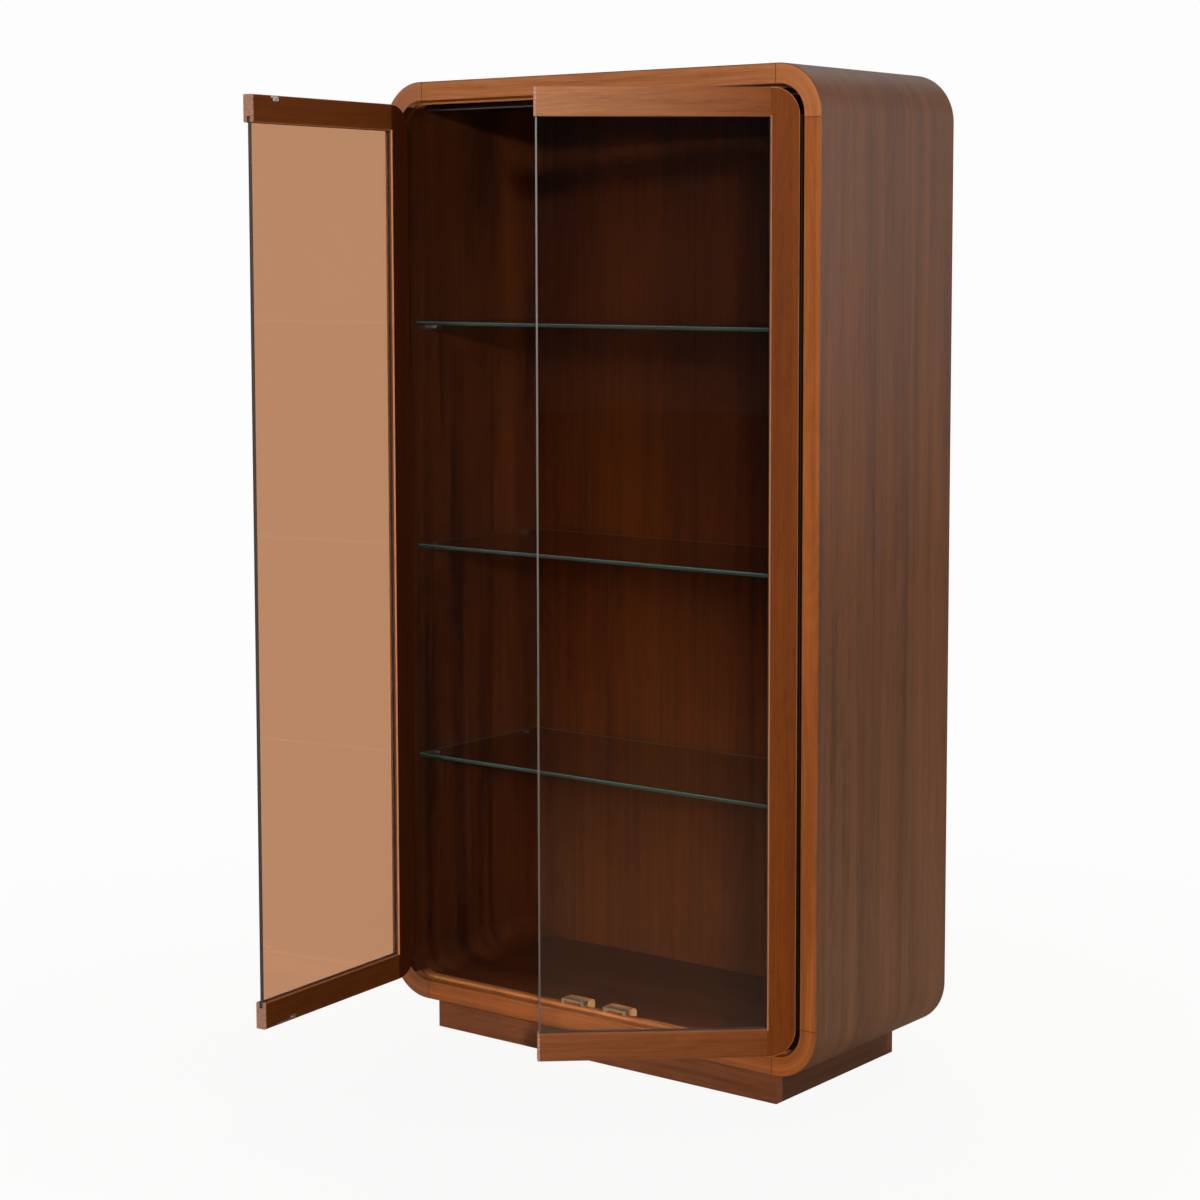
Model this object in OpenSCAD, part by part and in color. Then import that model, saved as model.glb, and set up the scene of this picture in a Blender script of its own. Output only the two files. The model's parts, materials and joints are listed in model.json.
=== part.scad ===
// Free-standing display case with rounded corners, a recessed plinth, glass
// shelves and two glazed doors on continuous hinges.
// Millimetres, +Z up, front towards -Y. The origin is the middle of the
// plinth's footprint, on the floor.

/* [Case] */
// Overall width of the case
case_w = 900; // [700:10:1200]
// Overall height above the floor, plinth included
case_h = 1660; // [1300:10:2000]
// Overall depth of the case
case_d = 400; // [320:10:600]
// Thickness of the top, bottom and sides
board_t = 32; // [24:1:40]
// Outside radius of the rounded corners
corner_r = 80; // [60:1:110]
// Straight leg of a corner block past its curve
corner_leg = 5; // [2:1:20]
// Chamfer on the outer arrises of boards and door members
edge_break = 1; // [0.5:0.1:2]

/* [Back panel] */
// Thickness of the back panel
back_t = 12; // [6:1:18]
// Width of the rebate that holds the back panel
rebate_w = 10; // [5:1:15]
// Distance from the rear edges to the back panel
back_recess = 8; // [2:1:20]
// Play around the back panel in its rebate
back_play = 0.3; // [0.1:0.1:1]

/* [Plinth] */
// Height of the plinth
plinth_h = 54; // [40:1:120]
// Thickness of the plinth boards
plinth_t = 18; // [12:1:25]
// Setback of the plinth from the front and the rear
plinth_setback_y = 22; // [10:1:60]
// Setback of the plinth from each side
plinth_setback_x = 90; // [30:1:140]

/* [Doors] */
// Thickness of the door frames
door_t = 18; // [16:1:25]
// Width of the stiles and rails
frame_w = 45; // [42:1:70]
// Gap between a door and the side of the case
side_gap = 6; // [6:0.5:8]
// Gap between the two doors
centre_gap = 4; // [3:0.5:8]
// Gap above the doors
top_gap = 7; // [4:0.5:10]
// Gap below the doors
bottom_gap = 9; // [4:0.5:12]
// How far the left door stands open
left_open_angle = 85.2; // [0:0.1:170]
// How far the right door stands open
right_open_angle = 41.3; // [0:0.1:170]

/* [Door glazing] */
// Thickness of the door glass
door_glass_t = 5; // [4:0.5:6]
// Distance from the outer face of a door to its glass
glass_setback = 7; // [5:0.5:8]
// Thickness of the glazing channel on each side of the glass
seal_t = 1.5; // [1:0.1:2]
// Depth of the glazing groove in the stile and rails
groove_depth = 10; // [8:1:14]
// Thickness of the glazing channel under the glass edge
seal_base = 2; // [1:0.5:3]
// How far the glazing channel shows past the frame
seal_show = 0.5; // [0.5:0.5:3]
// Distance from the free end of the rails to the bare glass edge
glass_inset = 2.5; // [0:0.5:10]
// Chamfer along the sight edge of the frame
sight_chamfer = 2; // [1:0.5:3]
// Shoulder between the rail's outer edge and its tongue
tongue_shoulder = 12; // [8:1:20]
// Play at the tip of the rail's tongue
tongue_play = 1; // [0.5:0.5:2]

/* [Hinges] */
// Radius of the hinge barrel
barrel_r = 2.6; // [2.2:0.1:2.8]
// Radius of the hinge pin
pin_r = 1.25; // [1:0.05:1.5]
// Radial play of the pin in its knuckles
pin_play = 0.05; // [0.02:0.01:0.1]
// Thickness of the hinge leaves
leaf_t = 1.2; // [1:0.1:1.5]
// Depth of a hinge leaf, from the pin towards the rear
leaf_d = 17; // [12:1:18]
// Distance of the pin's axis in front of the doors
pin_proud = 1; // [0:0.5:2]
// Length of one knuckle, before it is fitted to the door
knuckle_len = 50; // [30:5:80]
// Gap between neighbouring knuckles
knuckle_gap = 0.5; // [0.3:0.1:1]

/* [Door stops and catches] */
// Height of the stop strips inside the opening
stop_w = 5.5; // [4:0.5:7]
// Depth of the stop strips
stop_d = 12; // [8:1:20]
// Gap between a closed door and the stop strips
stop_gap = 1; // [0.5:0.5:5]
// Length of a magnetic catch
catch_w = 48; // [40:1:60]
// Depth of a catch housing
catch_d = 20; // [16:1:30]
// Height of a catch
catch_h = 14; // [13:0.5:20]
// Thickness of the bar of a catch's pole piece
pole_t = 3; // [2:0.5:4]
// Width of the feet at the ends of a pole piece
pole_foot_w = 6; // [4:1:10]
// Distance between a pole piece and the strike of a closed door
pole_gap = 0.8; // [0.5:0.1:2]
// Thickness of a strike plate
strike_t = 1.5; // [1:0.1:1.6]
// Height of a strike plate's long edge
strike_bar_h = 4; // [3:0.5:6]
// Width of a strike plate's tab
strike_tab_w = 14; // [10:1:18]
// Height of a strike plate's tab
strike_tab_h = 9; // [7:0.5:12]
// Length of a lower strike plate
low_strike_w = 45; // [30:1:60]
// Length of an upper strike plate
high_strike_w = 19; // [18:1:60]
// Middle of the left catches, from the free edge of the left door
left_catch_x = 55; // [40:0.5:120]
// Middle of the right catches, from the free edge of the right door
right_catch_x = 30; // [30:0.5:120]

/* [Shelves] */
// Thickness of the glass shelves
shelf_t = 6; // [6:1:10]
// Play between a shelf and the sides of the case
shelf_play = 1.5; // [0.5:0.5:3]
// Distance from the front of the case to a shelf's front edge
shelf_front = 40; // [36:1:80]
// Gap between a shelf and the back panel
shelf_rear_gap = 10; // [2:1:40]
// Arris on the edges of the shelves
shelf_arris = 1; // [0.5:0.5:2]
// Height of the bottom shelf's top face
bottom_shelf_z = 483; // [300:1:560]
// Height of the middle shelf's top face
middle_shelf_z = 857; // [640:1:900]
// Height of the top shelf's top face
top_shelf_z = 1249; // [960:1:1260]
// Radius of a shelf support
support_r = 6.5; // [5:0.5:8]
// Reach of a shelf support from the side of the case
support_reach = 14; // [10:1:20]
// Distance from a support's axis up to the shelf
support_drop = 5; // [3:0.5:5]
// Radius of the peg that holds a support
peg_r = 2.5; // [2:0.5:3]
// Depth of the peg in the side of the case
peg_depth = 9; // [6:1:14]
// Play of the peg in its hole
peg_play = 0.1; // [0.05:0.05:0.2]
// Distance from the front of the case to the front supports
front_support_y = 85; // [60:1:120]
// Distance from the back panel to the rear supports
rear_support_y = 42; // [25:1:90]

/* [Light] */
// Depth of the light profile under the top
light_d = 16; // [12:1:24]
// Height of the light profile
light_h = 14; // [12:1:20]
// Wall of the light profile
light_wall = 1.5; // [1:0.1:2.5]
// Distance from the front of the case to the light profile
light_front = 55; // [54:1:120]
// Thickness of the diffuser
diffuser_t = 2; // [1:0.5:3]
// Reach of an end cap round the corner of the opening
cap_reach = 26; // [10:1:30]

/* [Hidden] */
$fn = 64;
eps = 0.01;

inner_r = corner_r - board_t;
front_y = -case_d / 2;
rear_y = case_d / 2;
inner_x = case_w / 2 - board_t;
floor_z = plinth_h + board_t;
roof_z = case_h - board_t;
rebate_d = back_t + back_recess;
back_y = rear_y - rebate_d;

corner_x = case_w / 2 - corner_r;
low_corner_z = plinth_h + corner_r;
high_corner_z = case_h - corner_r;
panel_len = 2 * (corner_x - corner_leg);
side_len = high_corner_z - low_corner_z - 2 * corner_leg;

door_x = inner_x - side_gap;
door_w = door_x - centre_gap / 2;
door_z = floor_z + bottom_gap;
door_h = roof_z - top_gap - door_z;
door_corner_r = inner_r - side_gap;
groove_w = door_glass_t + 2 * seal_t;
groove_y = glass_setback - seal_t;
sight_h = door_h - 2 * frame_w;
glass_bite = groove_depth - seal_base;

axis_x = inner_x - side_gap / 2;
axis_y = front_y - pin_proud;
hinge_z = door_z + door_corner_r;
hinge_len = door_h - 2 * door_corner_r;
knuckles = 2 * floor(hinge_len / knuckle_len / 2) + 1;
knuckle_pitch = hinge_len / knuckles;
leaf_clear_y = barrel_r + 0.3;

stop_y = front_y + door_t + stop_gap;
pole_y = front_y + door_t + strike_t + pole_gap;
catch_clear = 1;
catch_y = stop_y + stop_d + catch_clear;
pole_foot_clear = 0.4;

shelf_w = 2 * (inner_x - shelf_play);
shelf_d = case_d - rebate_d - shelf_front - shelf_rear_gap;
light_len = 2 * corner_x;

// Case ---------------------------------------------------------------------

// Section of every board of the case: first value from front to rear, second
// value from the inner face outwards. The back panel's rebate is cut from the
// rear inner corner.
function board_section(base = 0) = [
    for (p = [
        [edge_break, 0],
        [0, edge_break],
        [0, board_t - edge_break],
        [edge_break, board_t],
        [case_d - edge_break, board_t],
        [case_d, board_t - edge_break],
        [case_d, rebate_w],
        [case_d - rebate_d, rebate_w],
        [case_d - rebate_d, 0],
    ]) [p[0], p[1] + base]
];

// A stretch of board along +X with its inner face on z = 0, facing down.
module board(length) {
    rotate([90, 0, 90])
        linear_extrude(length)
            polygon(board_section());
}

// The bottom right corner block about the axis of its curve: a quarter of a
// ring with a short leg towards each board.
module corner_block() {
    rotate([-90, 0, 0])
        rotate_extrude(angle = 90)
            polygon([for (p = board_section(inner_r)) [p[1], p[0]]]);
    translate([-corner_leg, 0, -inner_r])
        mirror([0, 0, 1])
            board(corner_leg);
    translate([inner_r, 0, corner_leg])
        rotate([0, 90, 0])
            board(corner_leg);
}

module top_panel() {
    color("peru")
        translate([-panel_len / 2, front_y, roof_z])
            board(panel_len);
}

module bottom_panel() {
    color("peru")
        translate([-panel_len / 2, front_y, floor_z])
            mirror([0, 0, 1])
                board(panel_len);
}

module right_side() {
    difference() {
        translate([inner_x, front_y, high_corner_z - corner_leg])
            rotate([0, 90, 0])
                board(side_len);
        peg_holes();
    }
}

module left_side_panel() {
    color("sienna")
        mirror([1, 0, 0])
            right_side();
}

module right_side_panel() {
    color("sienna")
        right_side();
}

module bottom_right_corner() {
    color("chocolate")
        translate([corner_x, front_y, low_corner_z])
            corner_block();
}

module bottom_left_corner() {
    mirror([1, 0, 0])
        bottom_right_corner();
}

module top_right_corner() {
    color("chocolate")
        translate([corner_x, front_y, high_corner_z])
            mirror([0, 0, 1])
                corner_block();
}

module top_left_corner() {
    mirror([1, 0, 0])
        top_right_corner();
}

// A plate in the XZ plane with four rounded corners, from y = 0 to y = t.
module rounded_plate(x0, x1, z0, z1, r, t) {
    translate([x0 + r, 0, z0])
        cube([x1 - x0 - 2 * r, t, z1 - z0]);
    for (side = [0, 1])
        translate([side ? x1 - r : x0, 0, z0 + r])
            cube([r, t, z1 - z0 - 2 * r]);
    for (x = [x0 + r, x1 - r], z = [z0 + r, z1 - r])
        translate([x, t, z])
            rotate([90, 0, 0])
                cylinder(r = r, h = t);
}

module back_panel() {
    reach = rebate_w - back_play;
    color("saddlebrown")
        translate([0, back_y, 0])
            rounded_plate(-inner_x - reach, inner_x + reach, floor_z - reach, roof_z + reach,
                          inner_r + reach, back_t);
}

// Stops --------------------------------------------------------------------

// Strips line the opening behind the doors and follow its rounded corners.
module bottom_stop() {
    color("burlywood")
        translate([-corner_x, stop_y, floor_z])
            cube([2 * corner_x, stop_d, stop_w]);
}

module top_stop() {
    color("burlywood")
        translate([-corner_x, stop_y, roof_z - stop_w])
            cube([2 * corner_x, stop_d, stop_w]);
}

module right_stop() {
    color("burlywood")
        translate([inner_x - stop_w, stop_y, low_corner_z])
            cube([stop_w, stop_d, high_corner_z - low_corner_z]);
}

module left_stop() {
    mirror([1, 0, 0])
        right_stop();
}

// The bottom right quarter of a ring about the axis of the corner.
module stop_corner() {
    color("burlywood")
        rotate([-90, 0, 0])
            rotate_extrude(angle = 90)
                translate([inner_r - stop_w, 0])
                    square([stop_w, stop_d]);
}

module bottom_right_stop_corner() {
    translate([corner_x, stop_y, low_corner_z])
        stop_corner();
}

module bottom_left_stop_corner() {
    mirror([1, 0, 0])
        bottom_right_stop_corner();
}

module top_right_stop_corner() {
    translate([corner_x, stop_y, high_corner_z])
        mirror([0, 0, 1])
            stop_corner();
}

module top_left_stop_corner() {
    mirror([1, 0, 0])
        top_right_stop_corner();
}

// Plinth -------------------------------------------------------------------

plinth_x = case_w / 2 - plinth_setback_x;
plinth_y = case_d / 2 - plinth_setback_y;

module plinth_front() {
    color("rosybrown")
        translate([-plinth_x, -plinth_y, 0])
            cube([2 * plinth_x, plinth_t, plinth_h]);
}

module plinth_rear() {
    mirror([0, 1, 0])
        plinth_front();
}

module plinth_right() {
    color("tan")
        translate([plinth_x - plinth_t, -plinth_y + plinth_t, 0])
            cube([plinth_t, 2 * (plinth_y - plinth_t), plinth_h]);
}

module plinth_left() {
    mirror([1, 0, 0])
        plinth_right();
}

// A bearer between the front and rear boards, under the middle of the case.
module plinth_bearer() {
    color("tan")
        translate([-plinth_t / 2, -plinth_y + plinth_t, 0])
            cube([plinth_t, 2 * (plinth_y - plinth_t), plinth_h]);
}

// Shelves ------------------------------------------------------------------

shelf_heights = [bottom_shelf_z, middle_shelf_z, top_shelf_z];
support_rows = [front_y + front_support_y, back_y - rear_support_y];

// A glass shelf with its top face at height z and an arris along each edge.
module shelf(z) {
    color("lightseagreen", 0.5)
        translate([-shelf_w / 2, front_y + shelf_front, z - shelf_t])
            rotate([90, 0, 90])
                linear_extrude(shelf_w)
                    polygon([
                        [shelf_arris, 0],
                        [shelf_d - shelf_arris, 0],
                        [shelf_d, shelf_arris],
                        [shelf_d, shelf_t - shelf_arris],
                        [shelf_d - shelf_arris, shelf_t],
                        [shelf_arris, shelf_t],
                        [0, shelf_t - shelf_arris],
                        [0, shelf_arris],
                    ]);
}

module bottom_shelf() {
    shelf(bottom_shelf_z);
}

module middle_shelf() {
    shelf(middle_shelf_z);
}

module top_shelf() {
    shelf(top_shelf_z);
}

// Places its children at each support on the right side, with +X into the
// side of the case and the shelf's underside at z = support_drop.
module at_right_supports() {
    for (z = shelf_heights, y = support_rows)
        translate([inner_x, y, z - shelf_t - support_drop])
            children();
}

module peg_holes() {
    at_right_supports()
        rotate([0, 90, 0])
            translate([0, 0, -1])
                cylinder(r = peg_r + peg_play, h = peg_depth + peg_play + 1);
}

// A round bar with a flat for the glass, turned down to a peg at the wall.
module shelf_support() {
    difference() {
        translate([-support_reach, 0, 0])
            rotate([0, 90, 0])
                cylinder(r = support_r, h = support_reach);
        translate([-support_reach - 1, -support_r - 1, support_drop])
            cube([support_reach + 2, 2 * support_r + 2, support_r]);
    }
    rotate([0, 90, 0])
        translate([0, 0, -1])
            cylinder(r = peg_r, h = peg_depth + 1);
}

module shelf_supports() {
    color("silver")
        for (side = [0, 1])
            mirror([side, 0, 0])
                at_right_supports()
                    shelf_support();
}

// Light --------------------------------------------------------------------

light_inner_d = light_d - 2 * light_wall;

// An extruded channel under the top, open downwards.
module light_profile() {
    color("lightgrey")
        translate([-light_len / 2, front_y + light_front, roof_z - light_h])
            difference() {
                cube([light_len, light_d, light_h]);
                translate([-1, light_wall, -1])
                    cube([light_len + 2, light_inner_d, light_h - light_wall + 1]);
            }
}

module light_diffuser() {
    color("white")
        translate([-light_len / 2, front_y + light_front + light_wall, roof_z - light_h])
            cube([light_len, light_inner_d, diffuser_t]);
}

// A cap closes each end of the profile and is scribed to the round corner.
module light_end_caps() {
    color("dimgrey")
        for (side = [0, 1])
            mirror([side, 0, 0])
                intersection() {
                    translate([corner_x, front_y + light_front, roof_z - light_h])
                        cube([cap_reach, light_d, light_h]);
                    translate([corner_x, front_y, high_corner_z])
                        rotate([-90, 0, 0])
                            cylinder(r = inner_r, h = case_d);
                }
}

// Catches ------------------------------------------------------------------

left_catch_mid = -centre_gap / 2 - left_catch_x;
right_catch_mid = centre_gap / 2 + right_catch_x;

// Places its children at each catch, standing on the floor of the case or
// hanging from its roof, with x = 0 at the catch's middle.
module at_catches() {
    for (x = [left_catch_mid, right_catch_mid]) {
        translate([x, 0, floor_z])
            children();
        translate([x, 0, roof_z])
            mirror([0, 0, 1])
                children();
    }
}

module catch_housings() {
    slope = catch_h / 3;
    color("tan")
        at_catches()
            translate([-catch_w / 2, catch_y, 0])
                rotate([90, 0, 90])
                    linear_extrude(catch_w)
                        polygon([
                            [0, 0],
                            [catch_d, 0],
                            [catch_d, catch_h - slope],
                            [catch_d - slope, catch_h],
                            [0, catch_h],
                        ]);
}

// A steel pole piece: a bar over the stop strip with a foot at each end.
module catch_poles() {
    reach = catch_y - pole_y;
    color("lightgrey")
        at_catches()
            translate([-catch_w / 2, pole_y, 0]) {
                translate([0, 0, catch_h - pole_t])
                    cube([catch_w, reach, pole_t]);
                for (x = [0, catch_w - pole_foot_w])
                    translate([x, 0, stop_w + pole_foot_clear])
                        cube([pole_foot_w, reach, catch_h - stop_w - pole_foot_clear]);
            }
}

// Doors --------------------------------------------------------------------

// Turns a closed left door about its hinge by an angle.
module swing(angle) {
    translate([-axis_x, axis_y, 0])
        rotate([0, 0, -angle])
            translate([axis_x, -axis_y, 0])
                children();
}

module on_left_door() {
    swing(left_open_angle)
        children();
}

module on_right_door() {
    mirror([1, 0, 0])
        swing(right_open_angle)
            children();
}

// Moves children to the lower hinge-side corner of the closed left door, with
// +X towards its free edge and y = 0 on its outer face.
module at_door() {
    translate([-door_x, front_y, door_z])
        children();
}

// A quarter disc of the door's thickness about the axis of its corner, with
// broken outer arrises.
module stile_corner() {
    r = door_corner_r;
    rotate([-90, 0, 0])
        rotate([0, 0, 90])
            rotate_extrude(angle = 90)
                polygon([
                    [0, 0],
                    [r - edge_break, 0],
                    [r, edge_break],
                    [r, door_t - edge_break],
                    [r - edge_break, door_t],
                    [0, door_t],
                ]);
}

// The volume in front of the glass that the sight edges are chamfered to.
module sight_cut() {
    c = sight_chamfer;
    far = door_w + 1;
    intersection() {
        linear_extrude(door_h)
            polygon([
                [frame_w - c - eps, -eps],
                [far, -eps],
                [far, c],
                [frame_w, c],
            ]);
        rotate([90, 0, 90])
            linear_extrude(far)
                polygon([
                    [-eps, frame_w - c - eps],
                    [c, frame_w],
                    [c, door_h - frame_w],
                    [-eps, door_h - frame_w + c + eps],
                ]);
    }
}

module sight_cuts() {
    sight_cut();
    translate([0, door_t, 0])
        mirror([0, 1, 0])
            sight_cut();
}

// The hinge-side member: round outer corners, a stopped glazing groove and
// chamfered sight edges.
module stile() {
    r = door_corner_r;
    at_door()
        difference() {
            union() {
                translate([r, 0, r])
                    stile_corner();
                translate([r, 0, door_h - r])
                    mirror([0, 0, 1])
                        stile_corner();
                translate([0, 0, r])
                    linear_extrude(door_h - 2 * r)
                        polygon([
                            [edge_break, 0],
                            [r, 0],
                            [r, door_t],
                            [edge_break, door_t],
                            [0, door_t - edge_break],
                            [0, edge_break],
                        ]);
                translate([r, 0, 0])
                    rotate([90, 0, 90])
                        linear_extrude(frame_w - r)
                            polygon([
                                [edge_break, 0],
                                [door_t - edge_break, 0],
                                [door_t, edge_break],
                                [door_t, door_h - edge_break],
                                [door_t - edge_break, door_h],
                                [edge_break, door_h],
                                [0, door_h - edge_break],
                                [0, edge_break],
                            ]);
            }
            translate([frame_w - groove_depth, groove_y, tongue_shoulder])
                cube([groove_depth + 1, groove_w, door_h - 2 * tongue_shoulder]);
            sight_cuts();
        }
}

// The bottom rail, with its glazing groove, and a tongue into the stile.
module rail() {
    groove_end = groove_y + groove_w;
    tongue_len = groove_depth - tongue_play;
    difference() {
        translate([frame_w, 0, 0])
            rotate([90, 0, 90])
                linear_extrude(door_w - frame_w)
                    polygon([
                        [edge_break, 0],
                        [door_t - edge_break, 0],
                        [door_t, edge_break],
                        [door_t, frame_w],
                        [groove_end, frame_w],
                        [groove_end, frame_w - groove_depth],
                        [groove_y, frame_w - groove_depth],
                        [groove_y, frame_w],
                        [0, frame_w],
                        [0, edge_break],
                    ]);
        sight_cuts();
    }
    translate([frame_w - tongue_len, groove_y, tongue_shoulder])
        cube([tongue_len + 1, groove_w, frame_w - groove_depth - tongue_shoulder]);
}

module bottom_rail() {
    at_door()
        rail();
}

module top_rail() {
    at_door()
        translate([0, 0, door_h])
            mirror([0, 0, 1])
                rail();
}

module door_glass() {
    at_door()
        translate([frame_w - glass_bite, glass_setback, frame_w - glass_bite])
            cube([
                door_w - frame_w + glass_bite - glass_inset,
                door_glass_t,
                sight_h + 2 * glass_bite,
            ]);
}

// A U-shaped rubber channel round the three framed edges of the glass.
module glazing_channel() {
    outer = frame_w - groove_depth;
    inner = frame_w + seal_show;
    difference() {
        at_door()
            difference() {
                translate([outer, groove_y, outer])
                    cube([door_w - outer - glass_inset, groove_w, door_h - 2 * outer]);
                translate([inner, groove_y - 1, inner])
                    cube([door_w, groove_w + 2, door_h - 2 * inner]);
            }
        door_glass();
    }
}

// One strike plate on the inner face of the closed left door: a long edge and
// a tab at its hinge-side end. z = 0 is the door's lower or upper edge.
module strike(catch_x, length) {
    at_door()
        translate([door_w - catch_x - length / 2, door_t, 0]) {
            translate([0, 0, edge_break])
                cube([length, strike_t, strike_bar_h - edge_break]);
            translate([0, 0, edge_break])
                cube([strike_tab_w, strike_t, strike_tab_h - edge_break]);
        }
}

module strikes(catch_x) {
    strike(catch_x, low_strike_w);
    translate([0, 0, 2 * door_z + door_h])
        mirror([0, 0, 1])
            strike(catch_x, high_strike_w);
}

// Hinges -------------------------------------------------------------------

// One leaf of the left hinge about the pin's axis. It lies against x = side
// and carries the knuckles of one parity (0 = even, 1 = odd), each on a finger
// of the leaf.
module hinge_leaf(side, parity) {
    plate_x = side > 0 ? side_gap / 2 - leaf_t : -side_gap / 2;
    finger_d = leaf_clear_y + leaf_t;
    difference() {
        union() {
            translate([plate_x, leaf_clear_y, 0])
                cube([leaf_t, leaf_d - leaf_clear_y, hinge_len]);
            for (i = [parity : 2 : knuckles - 1])
                translate([0, 0, i * knuckle_pitch + knuckle_gap / 2]) {
                    cylinder(r = barrel_r, h = knuckle_pitch - knuckle_gap);
                    translate([plate_x, 0, 0])
                        cube([leaf_t, finger_d, knuckle_pitch - knuckle_gap]);
                }
        }
        translate([0, 0, -1])
            cylinder(r = pin_r + pin_play, h = hinge_len + 2);
    }
}

module at_left_pin() {
    translate([-axis_x, axis_y, hinge_z])
        children();
}

module case_leaf() {
    at_left_pin()
        hinge_leaf(-1, 0);
}

module door_leaf() {
    at_left_pin()
        hinge_leaf(1, 1);
}

module hinge_pin() {
    at_left_pin()
        cylinder(r = pin_r, h = hinge_len);
}

module left_case_leaf() {
    color("darkslategrey")
        case_leaf();
}

module left_hinge_pin() {
    color("grey")
        hinge_pin();
}

module right_case_leaf() {
    color("darkslategrey")
        mirror([1, 0, 0])
            case_leaf();
}

module right_hinge_pin() {
    color("grey")
        mirror([1, 0, 0])
            hinge_pin();
}

// Left door ----------------------------------------------------------------

module left_stile() {
    color("sandybrown")
        on_left_door()
            stile();
}

module left_top_rail() {
    color("sandybrown")
        on_left_door()
            top_rail();
}

module left_bottom_rail() {
    color("sandybrown")
        on_left_door()
            bottom_rail();
}

module left_glass() {
    color("lightblue", 0.4)
        on_left_door()
            door_glass();
}

module left_glazing_channel() {
    color("black")
        on_left_door()
            glazing_channel();
}

module left_strikes() {
    color("silver")
        on_left_door()
            strikes(left_catch_x);
}

module left_door_leaf() {
    color("darkslategrey")
        on_left_door()
            door_leaf();
}

// Right door ---------------------------------------------------------------

module right_stile() {
    color("sandybrown")
        on_right_door()
            stile();
}

module right_top_rail() {
    color("sandybrown")
        on_right_door()
            top_rail();
}

module right_bottom_rail() {
    color("sandybrown")
        on_right_door()
            bottom_rail();
}

module right_glass() {
    color("lightblue", 0.4)
        on_right_door()
            door_glass();
}

module right_glazing_channel() {
    color("black")
        on_right_door()
            glazing_channel();
}

module right_strikes() {
    color("silver")
        on_right_door()
            strikes(right_catch_x);
}

module right_door_leaf() {
    color("darkslategrey")
        on_right_door()
            door_leaf();
}

top_panel();
bottom_panel();
left_side_panel();
right_side_panel();
top_left_corner();
top_right_corner();
bottom_left_corner();
bottom_right_corner();
back_panel();
top_stop();
bottom_stop();
left_stop();
right_stop();
top_left_stop_corner();
top_right_stop_corner();
bottom_left_stop_corner();
bottom_right_stop_corner();
plinth_front();
plinth_rear();
plinth_left();
plinth_right();
plinth_bearer();
bottom_shelf();
middle_shelf();
top_shelf();
shelf_supports();
light_profile();
light_diffuser();
light_end_caps();
catch_housings();
catch_poles();
left_case_leaf();
left_hinge_pin();
right_case_leaf();
right_hinge_pin();
left_stile();
left_top_rail();
left_bottom_rail();
left_glass();
left_glazing_channel();
left_strikes();
left_door_leaf();
right_stile();
right_top_rail();
right_bottom_rail();
right_glass();
right_glazing_channel();
right_strikes();
right_door_leaf();
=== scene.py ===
"""Finishes, light and camera for the display case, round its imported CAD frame.

Metres, +Z up, front towards -Y. The wood is procedural walnut whose grain
follows each board. The screws are built here, as they are too small for the
frame.
"""

import json
import math

import bmesh
import bpy
from mathutils import Matrix, Vector


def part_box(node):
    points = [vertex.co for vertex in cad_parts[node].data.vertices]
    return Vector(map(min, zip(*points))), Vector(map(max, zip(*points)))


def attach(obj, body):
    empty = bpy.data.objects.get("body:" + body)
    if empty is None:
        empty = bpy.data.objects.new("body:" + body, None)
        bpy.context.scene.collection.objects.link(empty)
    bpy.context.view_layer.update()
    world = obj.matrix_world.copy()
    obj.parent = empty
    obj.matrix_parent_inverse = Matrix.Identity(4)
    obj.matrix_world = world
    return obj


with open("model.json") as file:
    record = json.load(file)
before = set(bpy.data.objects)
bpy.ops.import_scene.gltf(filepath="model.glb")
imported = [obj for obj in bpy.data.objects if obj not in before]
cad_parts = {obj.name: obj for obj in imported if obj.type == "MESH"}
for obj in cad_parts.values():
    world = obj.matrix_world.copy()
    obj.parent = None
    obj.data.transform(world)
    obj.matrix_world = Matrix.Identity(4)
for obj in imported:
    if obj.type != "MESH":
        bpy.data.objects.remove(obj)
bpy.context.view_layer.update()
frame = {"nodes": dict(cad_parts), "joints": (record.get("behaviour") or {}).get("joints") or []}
nodes = frame["nodes"]
joints = {joint["name"]: joint for joint in frame["joints"]}


# Camera ---------------------------------------------------------------------

LENS_MM = 79.42
SENSOR_MM = 36.0
CAMERA_AT = (2.6799, -3.6414, 1.3670)
CAMERA_YAW = 37.70
CAMERA_PITCH = 5.41
CAMERA_ROLL = -0.11
CAMERA_SHIFT = -0.08
CAMERA_SIGHT = 60


def add_camera():
    """The camera fitted to the photograph, with its angles in degrees."""
    data = bpy.data.cameras.new("camera")
    data.lens = LENS_MM
    data.sensor_width = SENSOR_MM
    data.shift_y = CAMERA_SHIFT
    data.clip_end = CAMERA_SIGHT
    camera = bpy.data.objects.new("camera", data)
    bpy.context.scene.collection.objects.link(camera)
    turn = Matrix.Rotation(math.radians(CAMERA_YAW), 4, "Z")
    tilt = Matrix.Rotation(math.radians(90 - CAMERA_PITCH), 4, "X")
    roll = Matrix.Rotation(math.radians(CAMERA_ROLL), 4, "Z")
    camera.matrix_world = Matrix.Translation(CAMERA_AT) @ turn @ tilt @ roll
    bpy.context.scene.camera = camera


# Colours --------------------------------------------------------------------


def linear(red, green, blue):
    """An sRGB colour of 0 to 255 as linear RGBA."""
    def channel(value):
        value /= 255
        return value / 12.92 if value <= 0.04045 else ((value + 0.055) / 1.055) ** 2.4

    return (channel(red), channel(green), channel(blue), 1.0)


def grey(level):
    """A neutral linear colour."""
    return (level, level, level, 1)


def dimmed(colour, share):
    """A colour with its light cut to a share."""
    return tuple(c * share for c in colour[:3]) + (1,)


# Shader helpers -------------------------------------------------------------


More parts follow.
